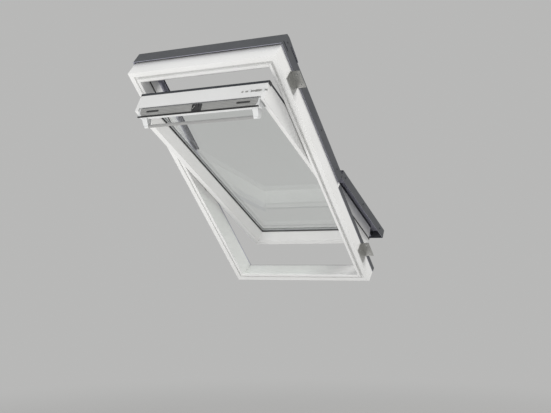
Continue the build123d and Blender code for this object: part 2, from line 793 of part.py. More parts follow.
# Barrel bolt
def barrel_bolt():
    """A round rod with a turned collar and a domed end, sliding out into the frame."""
    place, radius = BOLT_COLLAR
    rod = rod_across(BOLT_RADIUS, BOLT_CENTRE, BOLT_START, SASH_HALF - 0.5)
    rod = chamfer(rod.edges().filter_by(GeomType.CIRCLE), 0.8)
    return rod + rod_across(radius, BOLT_CENTRE, place - 3, place + 3)


# Assembly
def fixed_pieces():
    pieces = {
        "frame_right": frame_side() - rod_across(BUSH_RADIUS, BOLT_CENTRE, INNER_HALF - 1, INNER_HALF + 20),
        "frame_left": left_of(frame_side()),
        "frame_top": frame_top(),
        "frame_bottom": frame_bottom(),
        "frame_seal": frame_seal(),
        "top_carrier": top_carrier(),
        "top_hood": top_hood(),
        "hood_seal": hood_seal(),
        "sill_cover": sill_cover(),
        "striker": striker(),
        "bolt_bush": bolt_bush(),
    }
    pairs = {
        "side_carrier": side_carrier(),
        "upper_cover": upper_cover(),
        "cover_seal": cover_seal(),
        "lower_rail": lower_rail(),
        "frame_hinge": hinge_plate_frame(),
        "lower_bracket": bracket(BRACKET_FROM_END),
        "upper_bracket": bracket(FRAME_HEIGHT - BRACKET_FROM_END),
    }
    for name, piece in pairs.items():
        pieces[name + "_right"] = piece
        pieces[name + "_left"] = left_of(piece)
    return pieces


def sash_pieces():
    pieces = {
        "sash_top_rail": sash_top_rail(),
        "sash_bottom_rail": sash_bottom_rail(),
        "inner_pane": pane(GLASS_DEPTH),
        "outer_pane": pane(OUTER_PANE_DEPTH),
        "glass_spacer": glass_ring(5, 8, (GLASS_DEPTH + PANE, OUTER_PANE_DEPTH)),
        "inner_gasket": inner_gasket(),
        "outer_gasket": glass_ring(1, 11, (GLASS_BACK, LEDGE_DEPTH)),
        "glazing_bottom": glazing_bottom(),
        "glazing_top": glazing_top(),
        "bottom_cover": bottom_cover(),
        "sash_seal": sash_seal(),
        "vent_filter": vent_filter(),
        "bolt_guides": sum((bolt_guide(start) for start in BOLT_GUIDES), Part()),
    }
    pairs = {
        "sash_stile": sash_stile(),
        "glazing_side": glazing_side(),
        "lower_cover": lower_cover(),
        "sash_hinge": hinge_plate_sash(),
        "flap_pin": flap_pin(),
    }
    for name, piece in pairs.items():
        pieces[name + "_right"] = piece
        pieces[name + "_left"] = left_of(piece)
    bolt_room = bolt_groove()
    for name in ("sash_stile_right", "bolt_guides"):
        pieces[name] = pieces[name] - bolt_room
    pieces["bolt_guides"] = pieces["bolt_guides"] - pieces["sash_top_rail"]
    pieces["bolt_guides"] = pieces["bolt_guides"] - pieces["sash_stile_right"]
    pieces.update(flap_pieces())
    pieces["barrel_bolt"] = barrel_bolt()
    return pieces


def flap_pieces():
    pieces = {
        "flap_panel": flap_panel(),
        "vent_grille": vent_grille(),
        "flap_seal": flap_seal() - latch_case(),
        "control_bar": control_bar(),
        "latch_case": latch_case() - flap_panel(),
    }
    arm = bar_arm() - control_bar() - flap_panel()
    pieces["bar_arm_right"] = arm
    pieces["bar_arm_left"] = left_of(arm)
    pieces["flap_cap_right"] = flap_cap()
    pieces["flap_cap_left"] = left_of(flap_cap())
    return pieces


# The origin is on the sill face, the outer face of the frame's lower member
SILL_POINT_DEPTH = 33
AS_INSTALLED = Rot(180 - ROOF_PITCH, 0, 0) * Pos(0, 0, SILL_POINT_DEPTH)
PIVOT = Pos(0, PIVOT_UP, -PIVOT_DEPTH)
TIPPED = PIVOT * Rot(OPEN_ANGLE, 0, 0) * PIVOT.inverse()

os.makedirs("parts", exist_ok=True)
for name, piece in fixed_pieces().items():
    export_step(AS_INSTALLED * piece, f"parts/{name}.step")
for name, piece in sash_pieces().items():
    export_step(AS_INSTALLED * TIPPED * piece, f"parts/{name}.step")
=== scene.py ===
import json
import math
from itertools import product

import bmesh
import bpy
from mathutils import Matrix, Vector

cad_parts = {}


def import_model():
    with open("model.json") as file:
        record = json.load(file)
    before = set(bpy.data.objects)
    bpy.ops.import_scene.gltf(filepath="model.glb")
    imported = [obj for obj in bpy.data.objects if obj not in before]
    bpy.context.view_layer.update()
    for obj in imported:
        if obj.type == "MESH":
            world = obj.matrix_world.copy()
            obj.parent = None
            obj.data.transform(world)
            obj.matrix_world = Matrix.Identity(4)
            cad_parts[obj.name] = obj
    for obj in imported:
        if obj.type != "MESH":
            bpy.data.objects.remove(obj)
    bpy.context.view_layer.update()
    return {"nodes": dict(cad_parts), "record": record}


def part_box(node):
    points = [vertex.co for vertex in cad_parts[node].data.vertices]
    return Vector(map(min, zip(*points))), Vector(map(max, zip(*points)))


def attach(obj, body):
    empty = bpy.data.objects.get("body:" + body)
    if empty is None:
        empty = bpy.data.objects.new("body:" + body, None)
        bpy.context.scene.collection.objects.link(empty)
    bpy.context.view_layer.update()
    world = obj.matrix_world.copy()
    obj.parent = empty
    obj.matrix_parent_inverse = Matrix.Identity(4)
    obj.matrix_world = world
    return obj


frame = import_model()
nodes = frame["nodes"]

# Camera: 551 x 413 frame, place in metres, angles in degrees, sensor in millimetres
FRAME_PX = 551
FOCAL_PX = 902
SENSOR_WIDTH = 36
CAMERA_PLACE = (2.177, -4.345, 0.064)
CAMERA_YAW = 28.36
CAMERA_TILT = 3.68

# Installed angles of the window
ROOF_PITCH = math.radians(43.6)
OPEN_ANGLE = math.radians(16.2)
SASH_PITCH = ROOF_PITCH - OPEN_ANGLE
OUTWARD = Vector((0, math.sin(ROOF_PITCH), math.cos(ROOF_PITCH)))

# The window's two sides along X, and the word for each in a piece's name
SIDES = ((-1, "left"), (1, "right"))

# Half widths that pieces are placed by, metres; the first three are read off the frame
INNER_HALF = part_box("frame_right")[0][0]
SASH_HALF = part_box("sash_stile_right")[1][0]
HOOD_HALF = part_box("top_hood")[1][0]
SKIRT_HALF = 0.393
BRACKET_FACE = 0.3925

# Places in the lying window, metres; pairs are (up the slope, depth)
SILL_POINT_DEPTH = 0.033
PIVOT_UP = 0.709
PIVOT_DEPTH = 0.095
TOP_EDGE_ROOM = (1.323, 0.050)
TOP_EDGE_OUTER = (1.317, 0.140)
FLAP_BACK = (1.320, 0.048)
FLAP_FRONT = (1.315, 0.0075)

# Screw heads: (radius, height) and sink in metres; the proportions are shares of the pair
FRAME_PLATE_HEAD = (0.0042, 0.0002)
SASH_PLATE_HEAD = (0.0040, 0.0002)
BRACKET_HEAD = (0.0050, 0.0022)
COVER_HEAD = (0.0040, 0.0022)
TOP_EDGE_HEAD = (0.0055, 0.0010)
HEAD_SINK = 0.0005
HEAD_FOOT = 0.9
HEAD_CROWN = ((1, 0.4), (0.9, 0.8), (0.7, 1))
RECESS_MOUTH = (0.52, 0.13)
RECESS_FOOT = (0.3, 0.08)
RECESS_DEPTH = 0.45

# Places of the screws: steps from a middle, places up the slope, and depths
FRAME_PLATE_STEPS = (-0.072, 0.072)
FRAME_PLATE_DEPTHS = (0.068, 0.100)
SASH_PLATE_STEPS = (-0.058, 0.058)
SASH_PLATE_DEPTHS = (0.074, 0.112)
BRACKET_MIDDLES = (0.170, 1.230)
BRACKET_STEPS = (-0.028, 0.028)
BRACKET_DEPTH = 0.034
UPPER_COVER_UPS = (0.66, 0.90, 1.15)
LOWER_COVER_UPS = (0.05, 0.30, 0.55)
COVER_DEPTH = 0.124
HOOD_UP = 1.38
HOOD_DEPTH = 0.130
STRIKER_UP = 1.327
STRIKER_DEPTH = 0.046
TOP_EDGE_SCREW = (0.219, 1.3205, 0.087)
TOP_EDGE_NORMAL = (0, 1, 0.07)

# Corner caps on the sash, metres; their edge radius is also that of the latch lever
CAP_LENGTH = 0.020
CAP_ROOM_DEPTH = 0.119
CAP_SINK = 0.0022
CAP_PROUD = 0.0005
CAP_LIFT = 0.0001
CAP_RADIUS = 0.0003

# Dark liners that paint the shade deep in the air slots: place is (across, depth), sizes are
# (length, width)
SLOT_PLACE = (0.238, 0.029)
SLOT_SIZE = (0.0636, 0.0046)
SLOT_RIM = (0.0676, 0.0086)
SLOT_RIM_HEIGHT = 0.0038
COLLAR_SINK = 0.0004
COLLAR_PROUD = 0.0005
LINER_LIFT = 0.0003
LINER_THICKNESS = 0.0006
BAR_COUNT = 15
BAR_PITCH = 0.004
BAR_HALF = 0.0004
BAR_REACH = 0.46 * SLOT_SIZE[1]
BAR_FOOT = 0.0004
BAR_TOP = 0.0014

# Lever in the latch
LEVER_SIZE = (0.024, 0.0045)
LEVER_THICKNESS = 0.0012
LEVER_ACROSS = -0.0150
LEVER_DEPTH = 0.029
LEVER_LIFT = 0.0030
LEVER_NORMAL = (0, 1, 0.12)
LEVER_TURN = math.radians(68)

# The angle from which an edge is sharp, on CAD nodes and on the pieces made here
NODE_SHARP_ANGLE = math.radians(35)
PIECE_SHARP_ANGLE = math.radians(30)

# Steps of a rounded edge, of the round end of a slot, and of a circle
EDGE_SEGMENTS = 2
END_STEPS = 10
CIRCLE_STEPS = 32

# Radius of the edges of each slot's nodes, metres
SOFT_EDGES = {
    "white_timber": 0.0012,
    "white_carrier": 0.0008,
    "grey_cover": 0.0004,
    "white_aluminium": 0.0005,
    "white_plastic": 0.0006,
    "satin_aluminium": 0.0003,
    "dark_plastic": 0.0005,
    "zinc_steel": 0.0003,
}

# The darker and the lighter tone of each finish
TONES = {
    "white_paint": ((0.83, 0.83, 0.82), (0.87, 0.87, 0.865)),
    "white_upstand": ((0.80, 0.81, 0.82), (0.85, 0.86, 0.87)),
    "cover_coat": ((0.060, 0.064, 0.072), (0.078, 0.082, 0.090)),
    "profile_coat": ((0.018, 0.022, 0.030), (0.028, 0.033, 0.042)),
    "white_coat": ((0.80, 0.81, 0.81), (0.85, 0.86, 0.86)),
    "spacer_metal": ((0.68, 0.69, 0.70), (0.76, 0.77, 0.78)),
    "satin_metal": ((0.38, 0.38, 0.38), (0.46, 0.46, 0.45)),
    "zinc_plate": ((0.50, 0.50, 0.49), (0.66, 0.66, 0.64)),
    "grey_grille": ((0.36, 0.36, 0.35), (0.42, 0.42, 0.41)),
    "white_plastic": ((0.72, 0.73, 0.73), (0.77, 0.78, 0.78)),
    "dark_plastic": ((0.035, 0.035, 0.037), (0.055, 0.055, 0.058)),
    "black_rubber": ((0.014, 0.014, 0.015), (0.028, 0.028, 0.029)),
    "filter_foam": ((0.16, 0.16, 0.17), (0.36, 0.37, 0.38)),
}
# Colours laid on the sheets' room side and on their flanks that face the glass: on the covers
# partly a thin lighter coat and partly painted light, on the glazing profile a painted reflection
# of the sky; the last number lightens their patches
COVER_PRIMER_AND_PAINTED_LIGHT = (0.42, 0.42, 0.50)
PROFILE_PAINTED_REFLECTION = (0.34, 0.36, 0.40)
PRIMER_AND_PAINTED_LIGHT_PATCHES = 1.06
GLASS_COLOUR = (0.985, 0.995, 0.99)
GLASS_SHADOW = (0.95, 0.97, 0.96)

# The stretch of a texture's values that is spread over a material's whole range
TEXTURE_LOW = 0.3
TEXTURE_HIGH = 0.7

# Depths of the surface textures, metres
GRAIN_DEPTH = 0.00012
ROLLER_DEPTH = 0.00002
SKIN_DEPTH = 0.00003
SPARK_DEPTH = 0.00002
ROLLED_DEPTH = 0.00002
DIE_LINE_DEPTH = 0.00001
CELL_DEPTH = 0.0012

# Limits below which a sheet shows its lighter coat and painted light: how far its normal points
# outwards, and its normal's X times its distance from the middle in metres
ROOM_SIDE_LIMIT = -0.5
FLANK_LIMIT = -0.1

# Studio: metres; the floor turns into the backdrop between its near and far distance,
# and each lamp has a place, a target, a power in watts and a tint
FLOOR_DROP = 1.14
FLOOR_RADIUS = 60
FLOOR_NEAR = 1.6
FLOOR_FAR = 5.0
FLOOR_COLOUR = (0.43, 0.43, 0.425)
FLOOR_SPECKS = 1.01
BACKDROP = (0.48, 0.48, 0.475)
WORLD_LIGHT = 0.76
LAMP_SIZE = 2.4
WINDOW_MIDDLE = (0, -0.5, 0.55)
LAMPS = {
    "sky_side": ((2.4, 0.4, 3.9), WINDOW_MIDDLE, 110, (1.0, 0.985, 0.96)),
    "room_side": ((-0.8, -5.4, 1.4), WINDOW_MIDDLE, 34, (0.97, 0.985, 1.0)),
    "under_side": ((-0.4, -2.2, -1.1), (-0.4, -2.2, 0), 35, (1.0, 0.99, 0.975)),
}


# Material helpers
def material(name):
    made = bpy.data.materials.new(name)
    made.use_nodes = True
    shader = made.node_tree.nodes["Principled BSDF"]
    return made, made.node_tree, shader


def set_up(node, **settings):
    """Sets a node's own properties, or else its inputs, with _ for a space in their names."""
    for key, value in settings.items():
        if hasattr(node, key):
            setattr(node, key, value)
        else:
            node.inputs[key.replace("_", " ")].default_value = value


def add(tree, kind, **settings):
    node = tree.nodes.new(kind)
    set_up(node, **settings)
    return node


def coordinates(tree, kind):
    return add(tree, "ShaderNodeTexCoord").outputs[kind]


def object_place(tree, grain=(1, 1, 1), pitch=None):
    """Texture space fixed to the piece.

    `grain` is how long the texture is drawn out along each axis, and `pitch` turns its
    second axis from level to up the slope.
    """
    mapping = add(tree, "ShaderNodeMapping", vector_type="TEXTURE", Scale=grain)
    if pitch is not None:
        set_up(mapping, Rotation=(math.pi - pitch, 0, 0))
    tree.links.new(coordinates(tree, "Object"), mapping.inputs["Vector"])
    return mapping.outputs["Vector"]


def noise(tree, place, scale, detail, roughness=0.5):
    node = add(tree, "ShaderNodeTexNoise", Scale=scale, Detail=detail, Roughness=roughness)
    tree.links.new(place, node.inputs["Vector"])
    return node.outputs["Fac"]


def between(tree, factor, low, high):
    """A texture's values spread between two numbers."""
    node = add(
        tree,
        "ShaderNodeMapRange",
        From_Min=TEXTURE_LOW,
        From_Max=TEXTURE_HIGH,
        To_Min=low,
        To_Max=high,
    )
    tree.links.new(factor, node.inputs["Value"])
    return node.outputs["Result"]


def tones(tree, factor, dark, light):
    """A texture's values spread between two colours."""
    node = add(tree, "ShaderNodeValToRGB")
    ends = ((TEXTURE_LOW, dark), (TEXTURE_HIGH, light))
    for stop, (position, colour) in zip(node.color_ramp.elements, ends):
        stop.position = position
        stop.color = (*colour, 1)
    tree.links.new(factor, node.inputs["Fac"])
    return node.outputs["Color"]


def coloured(tree, shader, factor, dark, light):
    """Gives a shader two tones, mottled by a texture."""
    tree.links.new(tones(tree, factor, dark, light), shader.inputs["Base Color"])


def rough(tree, shader, factor, low, high):
    """Gives a shader a roughness that a texture varies between two values."""
    tree.links.new(between(tree, factor, low, high), shader.inputs["Roughness"])


def bump(tree, shader, heights):
    """Chains bumps from pairs of (height, depth in metres)."""
    normal = None
    for height, depth in heights:
        node = add(tree, "ShaderNodeBump", Strength=1.0, Distance=depth)
        tree.links.new(height, node.inputs["Height"])
        if normal is not None:
            tree.links.new(normal, node.inputs["Normal"])
        normal = node.outputs["Normal"]
    tree.links.new(normal, shader.inputs["Normal"])


def calculated(tree, operation, *values):
    """The result of a math node on outputs of other nodes and plain numbers."""
    node = add(tree, "ShaderNodeMath", operation=operation)
    for value, socket in zip(values, node.inputs):
        if isinstance(value, bpy.types.NodeSocket):
            tree.links.new(value, socket)
        else:
            socket.default_value = value
    return node.outputs["Value"]


def facing(tree, direction):
    """How far the surface faces a direction that is fixed to the piece, from -1 to 1."""
    dot = add(tree, "ShaderNodeVectorMath", operation="DOT_PRODUCT")
    dot.inputs[1].default_value = direction
    tree.links.new(coordinates(tree, "Normal"), dot.inputs[0])
    return dot.outputs["Value"]


def facing_middle(tree):
    """1 where the surface looks across towards the middle of the window, and else 0."""
    split = add(tree, "ShaderNodeSeparateXYZ")
    tree.links.new(coordinates(tree, "Object"), split.inputs["Vector"])
    across = calculated(tree, "MULTIPLY", facing(tree, (1, 0, 0)), split.outputs["X"])
    return calculated(tree, "LESS_THAN", across, FLANK_LIMIT)


def over(tree, base, top, mask):
    """One colour laid over another where the mask is 1."""
    mix = add(tree, "ShaderNodeMix", data_type="RGBA")
    tree.links.new(mask, mix.inputs["Factor"])
    tree.links.new(base, mix.inputs["A"])
    tree.links.new(top, mix.inputs["B"])
    return mix.outputs["Result"]


def mixed(tree, factor, first, second):
    """One shader that turns into another as the factor goes from 0 to 1."""
    mix = add(tree, "ShaderNodeMixShader")
    for output, socket in zip((factor, first, second), mix.inputs):
        tree.links.new(output, socket)
    return mix.outputs["Shader"]


# Materials
def painted_timber(name, pitch=None):
    """Satin white paint over close-grained timber, its grain across or up the slope."""
    made, tree, shader = material(name)
    long, fine = 0.25, 0.016
    grain_axes = (long, fine, fine) if pitch is None else (fine, long, fine)
    grain_place = object_place(tree, grain_axes, pitch)
    grain = noise(tree, grain_place, scale=5, detail=4, roughness=0.55)
    place = object_place(tree)
    mottle = noise(tree, place, scale=5, detail=3)
    roller = noise(tree, place, scale=900, detail=2)
    coloured(tree, shader, mottle, *TONES["white_paint"])
    rough(tree, shader, roller, low=0.32, high=0.42)
    bump(tree, shader, [(grain, GRAIN_DEPTH), (roller, ROLLER_DEPTH)])
    set_up(shader, Coat_Weight=0.15, Coat_Roughness=0.25)
    return made


def coated_sheet(name, roughness, primer_and_painted_light=None):
    """Coated aluminium with a fine orange-peel skin.

    The lighter colour passed in is laid on its room side and on the flanks that
    look towards the glass: on the covers partly a thin coat and partly painted light, on the
    glazing profile a painted reflection of the sky.
    """
    made, tree, shader = material(name)
    place = object_place(tree)
    skin = noise(tree, place, scale=1400, detail=2)
    patches = noise(tree, place, scale=7, detail=4)
    dust = noise(tree, place, scale=55, detail=5, roughness=0.7)
    colour = tones(tree, patches, *TONES[name])
    # Painted light: faces towards the room and flanks towards the glass are made lighter, as if
    # lit and reflecting the sky
    if primer_and_painted_light:
        room_side = calculated(tree, "LESS_THAN", facing(tree, OUTWARD), ROOM_SIDE_LIMIT)
        primer_and_painted_light_mask = calculated(tree, "MAXIMUM", room_side, facing_middle(tree))
        under = tones(tree, patches, primer_and_painted_light, tuple(c * PRIMER_AND_PAINTED_LIGHT_PATCHES for c in primer_and_painted_light))
        colour = over(tree, colour, under, primer_and_painted_light_mask)
    tree.links.new(colour, shader.inputs["Base Color"])
    rough(tree, shader, dust, low=roughness - 0.06, high=roughness + 0.08)
    bump(tree, shader, [(skin, SKIN_DEPTH)])
    return made


def rubber(name):
    made, tree, shader = material(name)
    place = object_place(tree)
    bloom = noise(tree, place, scale=40, detail=4)
    skin = noise(tree, place, scale=1800, detail=2)
    coloured(tree, shader, bloom, *TONES[name])
    rough(tree, shader, bloom, low=0.52, high=0.68)
    bump(tree, shader, [(skin, SKIN_DEPTH)])
    return made


def moulded(name, roughness):
    """Injection-moulded plastic with a fine spark-eroded texture."""
    made, tree, shader = material(name)
    place = object_place(tree)
    texture = noise(tree, place, scale=2200, detail=2)
    flow = noise(tree, place, scale=14, detail=3)
    coloured(tree, shader, flow, *TONES[name])
    rough(tree, shader, texture, low=roughness - 0.05, high=roughness + 0.07)
    bump(tree, shader, [(texture, SPARK_DEPTH)])
    return made


def zinc_plated(name):
    made, tree, shader = material(name)
    spangle = noise(tree, object_place(tree), scale=130, detail=4)
    rolled_place = object_place(tree, grain=(0.05, 0.0025, 0.0025))
    rolled = noise(tree, rolled_place, scale=3, detail=3)
    coloured(tree, shader, spangle, *TONES[name])
    rough(tree, shader, rolled, low=0.28, high=0.42)
    bump(tree, shader, [(rolled, ROLLED_DEPTH)])
    set_up(shader, Metallic=1.0)
    return made


def drawn_aluminium(name, metallic):
    """Extruded aluminium with fine die lines along its length across the window."""
    made, tree, shader = material(name)
    drawn_place = object_place(tree, grain=(0.16, 0.002, 0.002))
    drawn = noise(tree, drawn_place, scale=3, detail=3)
    coloured(tree, shader, drawn, *TONES[name])
    rough(tree, shader, drawn, low=0.32, high=0.46)
    bump(tree, shader, [(drawn, DIE_LINE_DEPTH)])
    set_up(shader, Metallic=metallic)
    return made


def open_foam(name):
    made, tree, shader = material(name)
    voronoi = add(tree, "ShaderNodeTexVoronoi", Scale=420.0)
    tree.links.new(object_place(tree), voronoi.inputs["Vector"])
    cells = voronoi.outputs["Distance"]
    coloured(tree, shader, cells, *TONES[name])
    bump(tree, shader, [(cells, CELL_DEPTH)])
    set_up(shader, Roughness=0.95)
    return made


def float_glass(name):
    """Clear glass that casts only a faint shadow, with a breath of dust on it."""
    made, tree, shader = material(name)
    dust = noise(tree, object_place(tree), scale=9, detail=5, roughness=0.65)
    rough(tree, shader, dust, low=0.0, high=0.015)
    set_up(shader, Base_Color=(*GLASS_COLOUR, 1), IOR=1.5, Transmission_Weight=1.0)
    clear = add(tree, "ShaderNodeBsdfTransparent", Color=(*GLASS_SHADOW, 1))
    rays = add(tree, "ShaderNodeLightPath")
    surface = mixed(
        tree, rays.outputs["Is Shadow Ray"], shader.outputs["BSDF"], clear.outputs["BSDF"]
    )
    tree.links.new(surface, tree.nodes["Material Output"].inputs["Surface"])
    return made


def slot_materials():
    return {
        "white_timber": painted_timber("paint_on_frame_sides", ROOF_PITCH),
        "white_carrier": moulded("white_upstand", roughness=0.5),
        "grey_cover": coated_sheet("cover_coat", roughness=0.42, primer_and_painted_light=COVER_PRIMER_AND_PAINTED_LIGHT),
        "glazing_profile": coated_sheet("profile_coat", roughness=0.36, primer_and_painted_light=PROFILE_PAINTED_REFLECTION),
        "glass": float_glass("float_glass"),
        "spacer": drawn_aluminium("spacer_metal", metallic=0.7),
        "satin_aluminium": drawn_aluminium("satin_metal", metallic=0.3),
        "grey_plastic": moulded("grey_grille", roughness=0.4),
        "black_rubber": rubber("black_rubber"),
        "zinc_steel": zinc_plated("zinc_plate"),
        "white_aluminium": coated_sheet("white_coat", roughness=0.34),
        "white_plastic": moulded("white_plastic", roughness=0.35),
        "dark_plastic": moulded("dark_plastic", roughness=0.45),
        "filter_foam": open_foam("filter_foam"),
    }


def dress_nodes(finishes):
    """Gives every CAD node its material and, where it has one, a small edge radius."""
    rails = painted_timber("paint_on_rails")
    stiles = painted_timber("paint_on_stiles", SASH_PITCH)
    for part in frame["record"]["subparts"]:
        name, slot = part["node"], part["material_slot"]
        piece = nodes[name]
        finish = finishes[slot]
        if slot == "white_timber" and ("top" in name or "bottom" in name):
            finish = rails
        if "stile" in name:
            finish = stiles
        piece.data.materials.clear()
        piece.data.materials.append(finish)
        if slot in SOFT_EDGES:
            soften(piece, SOFT_EDGES[slot])


def soften(piece, width):
    edge = piece.modifiers.new("edge", "BEVEL")
    edge.width = width
    edge.segments = EDGE_SEGMENTS
    edge.limit_method = "ANGLE"
    edge.angle_limit = NODE_SHARP_ANGLE
    edge.harden_normals = True


# Small fasteners and end pieces
def turned(angle):
    return Matrix.Rotation(angle, 4, "X")


FRAME_SPACE = turned(math.pi - ROOF_PITCH) @ Matrix.Translation((0, 0, SILL_POINT_DEPTH))
PIVOT = Matrix.Translation((0, PIVOT_UP, -PIVOT_DEPTH))
SASH_SPACE = FRAME_SPACE @ PIVOT @ turned(OPEN_ANGLE) @ PIVOT.inverted()
SPACES = {"frame": FRAME_SPACE, "sash": SASH_SPACE, "flap": SASH_SPACE}


def hang(shape, name, body, slot, finishes):
    """Makes a piece of a shape drawn in the lying window's space, and hangs it on a body."""
    mesh = bpy.data.meshes.new(name)
    bmesh.ops.recalc_face_normals(shape, faces=shape.faces)
    shape.to_mesh(mesh)
    shape.free()
    for polygon in mesh.polygons:
        polygon.use_smooth = True
    mesh.set_sharp_from_angle(angle=PIECE_SHARP_ANGLE)
    mesh.materials.append(finishes[slot])
    piece = bpy.data.objects.new(name, mesh)
    bpy.context.scene.collection.objects.link(piece)
    piece.matrix_world = SPACES[body]
    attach(piece, body)


def stand(shape, place, normal, turn=0):
    """Moves a shape to (across, up the slope, depth), with its Z along `normal`."""
    across, up, depth = place
    normal = Vector((normal[0], normal[1], -normal[2]))
    aim = normal.to_track_quat("Z", "Y").to_matrix().to_4x4()
    aim = aim @ Matrix.Rotation(turn, 4, "Z")
    shape.transform(Matrix.Translation((across, up, -depth)) @ aim)


def up_along(near, far, depth):
    """How far up the slope the line through two (up, depth) points is at a depth."""
    return near[0] + (far[0] - near[0]) / (far[1] - near[1]) * (depth - near[1])


def join_rings(shape, lower, upper):
    for a, b, c, d in zip(lower, lower[1:] + lower[:1], upper[1:] + upper[:1], upper):
        shape.faces.new((a, b, c, d))


def prism(shape, outline, low, high):
    """A closed piece with the same (x, y) outline at two heights."""
    lower, upper = ([shape.verts.new((x, y, z)) for x, y in outline] for z in (low, high))
    join_rings(shape, lower, upper)
    shape.faces.new(reversed(lower))
    shape.faces.new(upper)


def collar(shape, outer, primer_and_painted_light_mask, low, high):
    """A ring between two outlines of as many points, with a closed section."""
    loops = []
    for outline, height in ((outer, low), (outer, high), (primer_and_painted_light_mask, high), (primer_and_painted_light_mask, low)):
        loops.append([shape.verts.new((x, y, height)) for x, y in outline])
    for near, far in zip(loops, loops[1:] + loops[:1]):
        join_rings(shape, near, far)


def ease(shape):
    """Rounds every sharp edge of a shape a little."""
    sharp = [edge for edge in shape.edges if edge.calc_face_angle(0) > PIECE_SHARP_ANGLE]
    bmesh.ops.bevel(
        shape,
        geom=sharp,
        offset=CAP_RADIUS,
        segments=EDGE_SEGMENTS,
        affect="EDGES",
        profile=0.5,
    )


def round_ended(length, width):
    """The outline of a slot with round ends, along X."""
    points = []
    for way in (1, -1):
        for step in range(END_STEPS + 1):
            angle = math.pi * (step / END_STEPS - 0.5)
            across = (length - width) / 2 + width / 2 * math.cos(angle)
            points.append((way * across, way * width / 2 * math.sin(angle)))
    return points


def circle_at(shape, radius, height):
    angles = [2 * math.pi * step / CIRCLE_STEPS for step in range(CIRCLE_STEPS)]
    return [shape.verts.new((radius * math.cos(a), radius * math.sin(a), height)) for a in angles]


def cross_at(shape, length, width, height):
    """The twelve corners of a cross, in order round it."""
    corners = [(length, -width), (length, width), (width, width)]
    points = []
    for quarter in range(4):
        turn = Matrix.Rotation(quarter * math.pi / 2, 2)
        points += [turn @ Vector(corner) for corner in corners]
    return [shape.verts.new((x, y, height)) for x, y in points]


def ring_edges(shape, ring):
    return [shape.edges.get(pair) for pair in zip(ring, ring[1:] + ring[:1])]


def screw_head(radius, height):
    """A round head with a cross recess, its foot a little below the surface."""
    shape = bmesh.new()
    profile = [(radius * HEAD_FOOT, -HEAD_SINK), (radius, 0)]
    profile += [(radius * wide, height * high) for wide, high in HEAD_CROWN]
    rings = [circle_at(shape, r, z) for r, z in profile]
    for lower, upper in zip(rings, rings[1:]):
        join_rings(shape, lower, upper)
    shape.faces.new(reversed(rings[0]))
    mouth = cross_at(shape, *(radius * share for share in RECESS_MOUTH), height)
    recess_floor = height - radius * RECESS_DEPTH
    bottom = cross_at(shape, *(radius * share for share in RECESS_FOOT), recess_floor)
    join_rings(shape, bottom, mouth)
    shape.faces.new(bottom)
    rim = [edge for ring in (rings[-1], mouth) for edge in ring_edges(shape, ring)]
    bmesh.ops.triangle_fill(shape, edges=rim, use_beauty=True, normal=(0, 0, 1))
    return shape


def screw_places():
    """Each screw's body, place, direction, head and slot."""
    for side, _ in SIDES:
        inwards, outwards = (-side, 0, 0), (side, 0, 0)
        for step, depth in product(FRAME_PLATE_STEPS, FRAME_PLATE_DEPTHS):
            place = (side * INNER_HALF, PIVOT_UP + step, depth)
            yield "frame", place, inwards, FRAME_PLATE_HEAD, "zinc_steel"
        for step, depth in product(SASH_PLATE_STEPS, SASH_PLATE_DEPTHS):
            place = (side * SASH_HALF, PIVOT_UP + step, depth)
            yield "sash", place, outwards, SASH_PLATE_HEAD, "zinc_steel"
        for middle, step in product(BRACKET_MIDDLES, BRACKET_STEPS):
            place = (side * BRACKET_FACE, middle + step, BRACKET_DEPTH)
            yield "frame", place, outwards, BRACKET_HEAD, "zinc_steel"
        for body, ups in (("frame", UPPER_COVER_UPS), ("sash", LOWER_COVER_UPS)):
            for up in ups:
                place = (side * SKIRT_HALF, up, COVER_DEPTH)
                yield body, place, outwards, COVER_HEAD, "grey_cover"
        place = (side * HOOD_HALF, HOOD_UP, HOOD_DEPTH)
        yield "frame", place, outwards, COVER_HEAD, "grey_cover"
    place = (0, STRIKER_UP, STRIKER_DEPTH)
    yield "frame", place, (0, -1, 0), FRAME_PLATE_HEAD, "zinc_steel"
    yield "sash", TOP_EDGE_SCREW, TOP_EDGE_NORMAL, TOP_EDGE_HEAD, "zinc_steel"


def screws(finishes):
    """Every screw that shows, from the room or from outside."""
    for number, (body, place, normal, head, slot) in enumerate(screw_places(), 1):
        shape = screw_head(*head)
        stand(shape, place, normal)
        hang(shape, f"screw_{number:02d}", body, slot, finishes)


def corner_caps(finishes):
    """A black block on the sash's side at each upper corner, where the profiles meet."""
    edge_up, outer = TOP_EDGE_OUTER
    edge_up_inside = up_along(TOP_EDGE_OUTER, TOP_EDGE_ROOM, CAP_ROOM_DEPTH)
    foot = edge_up - CAP_LENGTH
    side_view = [
        (foot, CAP_ROOM_DEPTH),
        (edge_up_inside + CAP_LIFT, CAP_ROOM_DEPTH),
        (edge_up + CAP_LIFT, outer + CAP_LIFT),
        (foot, outer + CAP_LIFT),
    ]
    for side, name in SIDES:
        shape = bmesh.new()
        ends = []
        for x in sorted((side * (SASH_HALF - CAP_SINK), side * (SASH_HALF + CAP_PROUD))):
            ends.append([shape.verts.new((x, up, -depth)) for up, depth in side_view])
        join_rings(shape, *ends)
        shape.faces.new(reversed(ends[0]))
        shape.faces.new(ends[1])
        ease(shape)
        hang(shape, f"corner_cap_{name}", "sash", "dark_plastic", finishes)


def on_flap(depth, lift):
    """How far up the slope a point is that stands `lift` over the flap's upper face."""
    return up_along(FLAP_FRONT, FLAP_BACK, depth) + lift


